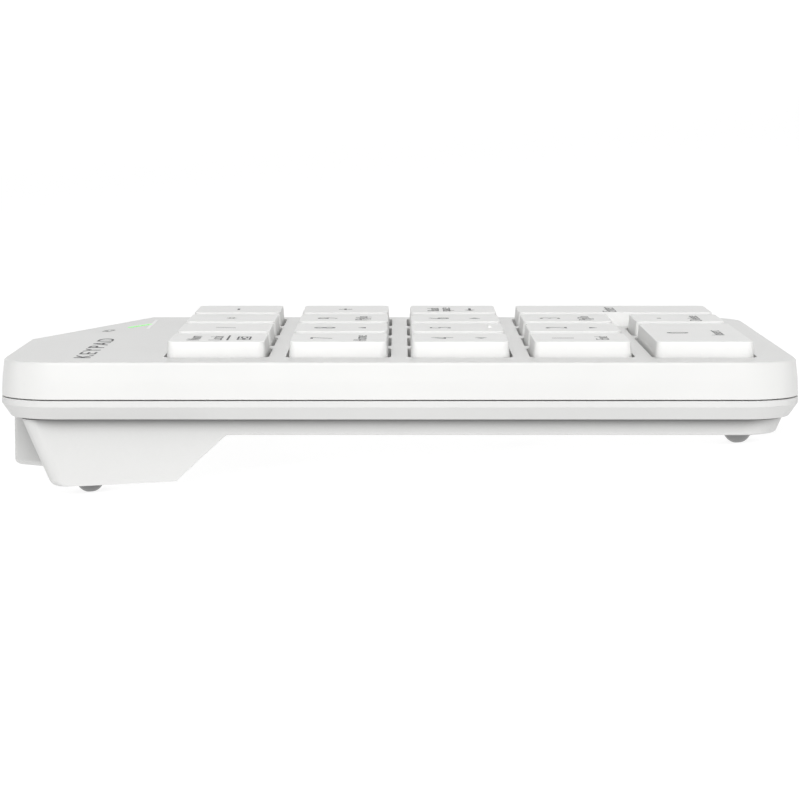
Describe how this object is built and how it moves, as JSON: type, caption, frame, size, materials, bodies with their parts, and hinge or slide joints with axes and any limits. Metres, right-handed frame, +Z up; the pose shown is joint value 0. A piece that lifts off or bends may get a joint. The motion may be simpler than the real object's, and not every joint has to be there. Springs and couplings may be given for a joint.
{
  "type": "numeric keypad",
  "caption": "Low wedge-shaped desk numeric keypad with drafted keycaps, a rear riser, dome feet and a small status light bar.",
  "frame": {"origin": "middle of the footprint box, on the surface that the four feet stand on", "axes": "+X from the Num Lock column to the Enter column, +Y from the 0 key row to the rear riser, +Z up"},
  "size_m": [0.0852, 0.1246, 0.0223],
  "materials": {
    "case_plastic": "satin",
    "base_plastic": "satin",
    "key_plastic": "satin",
    "frame_plastic": "matte",
    "membrane_film": "satin",
    "plate_steel": "brushed",
    "board_laminate": "satin",
    "chip_plastic": "matte",
    "connector_plastic": "matte",
    "port_steel": "satin",
    "battery_foil": "satin",
    "lamp_plastic": "gloss",
    "lamp_pipe": "gloss",
    "screw_steel": "satin",
    "label_film": "satin",
    "wire_steel": "satin",
    "foot_rubber": "matte",
    "dome_rubber": "matte"
  },
  "bodies": {
    "case": {"top_cover": "case_plastic", "bottom_cover": "base_plastic", "key_frame": "frame_plastic", "membrane": "membrane_film", "backing_plate": "plate_steel", "main_board": "board_laminate", "controller_chip": "chip_plastic", "membrane_connector": "connector_plastic", "usb_port_shell": "port_steel", "usb_port_tongue": "chip_plastic", "power_switch_body": "chip_plastic", "battery_cell": "battery_foil", "led_board": "board_laminate", "status_led": "lamp_plastic", "light_pipe": "lamp_pipe", "case_screws": "screw_steel", "rating_label": "label_film", "foot_front_left": "foot_rubber", "foot_front_right": "foot_rubber", "foot_rear_left": "foot_rubber", "foot_rear_right": "foot_rubber", "dome_num_lock": "dome_rubber", "dome_divide": "dome_rubber", "dome_multiply": "dome_rubber", "dome_subtract": "dome_rubber", "dome_7": "dome_rubber", "dome_8": "dome_rubber", "dome_9": "dome_rubber", "dome_add": "dome_rubber", "dome_4": "dome_rubber", "dome_5": "dome_rubber", "dome_6": "dome_rubber", "dome_backspace": "dome_rubber", "dome_1": "dome_rubber", "dome_2": "dome_rubber", "dome_3": "dome_rubber", "dome_enter": "dome_rubber", "dome_0": "dome_rubber", "dome_decimal": "dome_rubber"},
    "key_num_lock": {"key_num_lock": "key_plastic"},
    "key_divide": {"key_divide": "key_plastic"},
    "key_multiply": {"key_multiply": "key_plastic"},
    "key_subtract": {"key_subtract": "key_plastic"},
    "key_7": {"key_7": "key_plastic"},
    "key_8": {"key_8": "key_plastic"},
    "key_9": {"key_9": "key_plastic"},
    "key_add": {"key_add": "key_plastic"},
    "key_4": {"key_4": "key_plastic"},
    "key_5": {"key_5": "key_plastic"},
    "key_6": {"key_6": "key_plastic"},
    "key_backspace": {"key_backspace": "key_plastic"},
    "key_1": {"key_1": "key_plastic"},
    "key_2": {"key_2": "key_plastic"},
    "key_3": {"key_3": "key_plastic"},
    "key_enter": {"key_enter": "key_plastic"},
    "key_0": {"key_0": "key_plastic"},
    "key_decimal": {"key_decimal": "key_plastic"},
    "enter_stabiliser": {"stabiliser_wire_enter": "wire_steel"},
    "zero_stabiliser": {"stabiliser_wire_0": "wire_steel"},
    "power_knob": {"power_switch_knob": "case_plastic"}
  },
  "joints": [
    {"name": "key_num_lock_slide", "type": "slide", "parent": "case", "child": "key_num_lock", "axis": [0, 0.0763, -0.9971], "range_m": [0, 0.0022], "stiffness_N_per_m": 250, "deforming": ["dome_num_lock"]},
    {"name": "key_divide_slide", "type": "slide", "parent": "case", "child": "key_divide", "axis": [0, 0.0763, -0.9971], "range_m": [0, 0.0022], "stiffness_N_per_m": 250, "deforming": ["dome_divide"]},
    {"name": "key_multiply_slide", "type": "slide", "parent": "case", "child": "key_multiply", "axis": [0, 0.0763, -0.9971], "range_m": [0, 0.0022], "stiffness_N_per_m": 250, "deforming": ["dome_multiply"]},
    {"name": "key_subtract_slide", "type": "slide", "parent": "case", "child": "key_subtract", "axis": [0, 0.0763, -0.9971], "range_m": [0, 0.0022], "stiffness_N_per_m": 250, "deforming": ["dome_subtract"]},
    {"name": "key_7_slide", "type": "slide", "parent": "case", "child": "key_7", "axis": [0, 0.0763, -0.9971], "range_m": [0, 0.0022], "stiffness_N_per_m": 250, "deforming": ["dome_7"]},
    {"name": "key_8_slide", "type": "slide", "parent": "case", "child": "key_8", "axis": [0, 0.0763, -0.9971], "range_m": [0, 0.0022], "stiffness_N_per_m": 250, "deforming": ["dome_8"]},
    {"name": "key_9_slide", "type": "slide", "parent": "case", "child": "key_9", "axis": [0, 0.0763, -0.9971], "range_m": [0, 0.0022], "stiffness_N_per_m": 250, "deforming": ["dome_9"]},
    {"name": "key_add_slide", "type": "slide", "parent": "case", "child": "key_add", "axis": [0, 0.0763, -0.9971], "range_m": [0, 0.0022], "stiffness_N_per_m": 250, "deforming": ["dome_add"]},
    {"name": "key_4_slide", "type": "slide", "parent": "case", "child": "key_4", "axis": [0, 0.0763, -0.9971], "range_m": [0, 0.0022], "stiffness_N_per_m": 250, "deforming": ["dome_4"]},
    {"name": "key_5_slide", "type": "slide", "parent": "case", "child": "key_5", "axis": [0, 0.0763, -0.9971], "range_m": [0, 0.0022], "stiffness_N_per_m": 250, "deforming": ["dome_5"]},
    {"name": "key_6_slide", "type": "slide", "parent": "case", "child": "key_6", "axis": [0, 0.0763, -0.9971], "range_m": [0, 0.0022], "stiffness_N_per_m": 250, "deforming": ["dome_6"]},
    {"name": "key_backspace_slide", "type": "slide", "parent": "case", "child": "key_backspace", "axis": [0, 0.0763, -0.9971], "range_m": [0, 0.0022], "stiffness_N_per_m": 250, "deforming": ["dome_backspace"]},
    {"name": "key_1_slide", "type": "slide", "parent": "case", "child": "key_1", "axis": [0, 0.0763, -0.9971], "range_m": [0, 0.0022], "stiffness_N_per_m": 250, "deforming": ["dome_1"]},
    {"name": "key_2_slide", "type": "slide", "parent": "case", "child": "key_2", "axis": [0, 0.0763, -0.9971], "range_m": [0, 0.0022], "stiffness_N_per_m": 250, "deforming": ["dome_2"]},
    {"name": "key_3_slide", "type": "slide", "parent": "case", "child": "key_3", "axis": [0, 0.0763, -0.9971], "range_m": [0, 0.0022], "stiffness_N_per_m": 250, "deforming": ["dome_3"]},
    {"name": "key_enter_slide", "type": "slide", "parent": "case", "child": "key_enter", "axis": [0, 0.0763, -0.9971], "range_m": [0, 0.0022], "stiffness_N_per_m": 250, "deforming": ["dome_enter"]},
    {"name": "key_0_slide", "type": "slide", "parent": "case", "child": "key_0", "axis": [0, 0.0763, -0.9971], "range_m": [0, 0.0022], "stiffness_N_per_m": 250, "deforming": ["dome_0"]},
    {"name": "key_decimal_slide", "type": "slide", "parent": "case", "child": "key_decimal", "axis": [0, 0.0763, -0.9971], "range_m": [0, 0.0022], "stiffness_N_per_m": 250, "deforming": ["dome_decimal"]},
    {"name": "enter_stabiliser_hinge", "type": "hinge", "parent": "case", "child": "enter_stabiliser", "pos_m": [0.0249, -0.03849, 0.01126], "axis": [0, 0.9971, 0.0763], "range_deg": [0, 21.2]},
    {"name": "zero_stabiliser_hinge", "type": "hinge", "parent": "case", "child": "zero_stabiliser", "pos_m": [-0.0177, -0.05284, 0.01016], "axis": [-1, 0, 0], "range_deg": [0, 21.2]},
    {"name": "power_switch_slide", "type": "slide", "parent": "case", "child": "power_knob", "axis": [1, 0, 0], "range_m": [0, 0.0026]}
  ],
  "couplings": [
    {"joint": "enter_stabiliser_hinge", "follows": "key_enter_slide", "rad_per_m": 167.62},
    {"joint": "zero_stabiliser_hinge", "follows": "key_0_slide", "rad_per_m": 167.62}
  ]
}
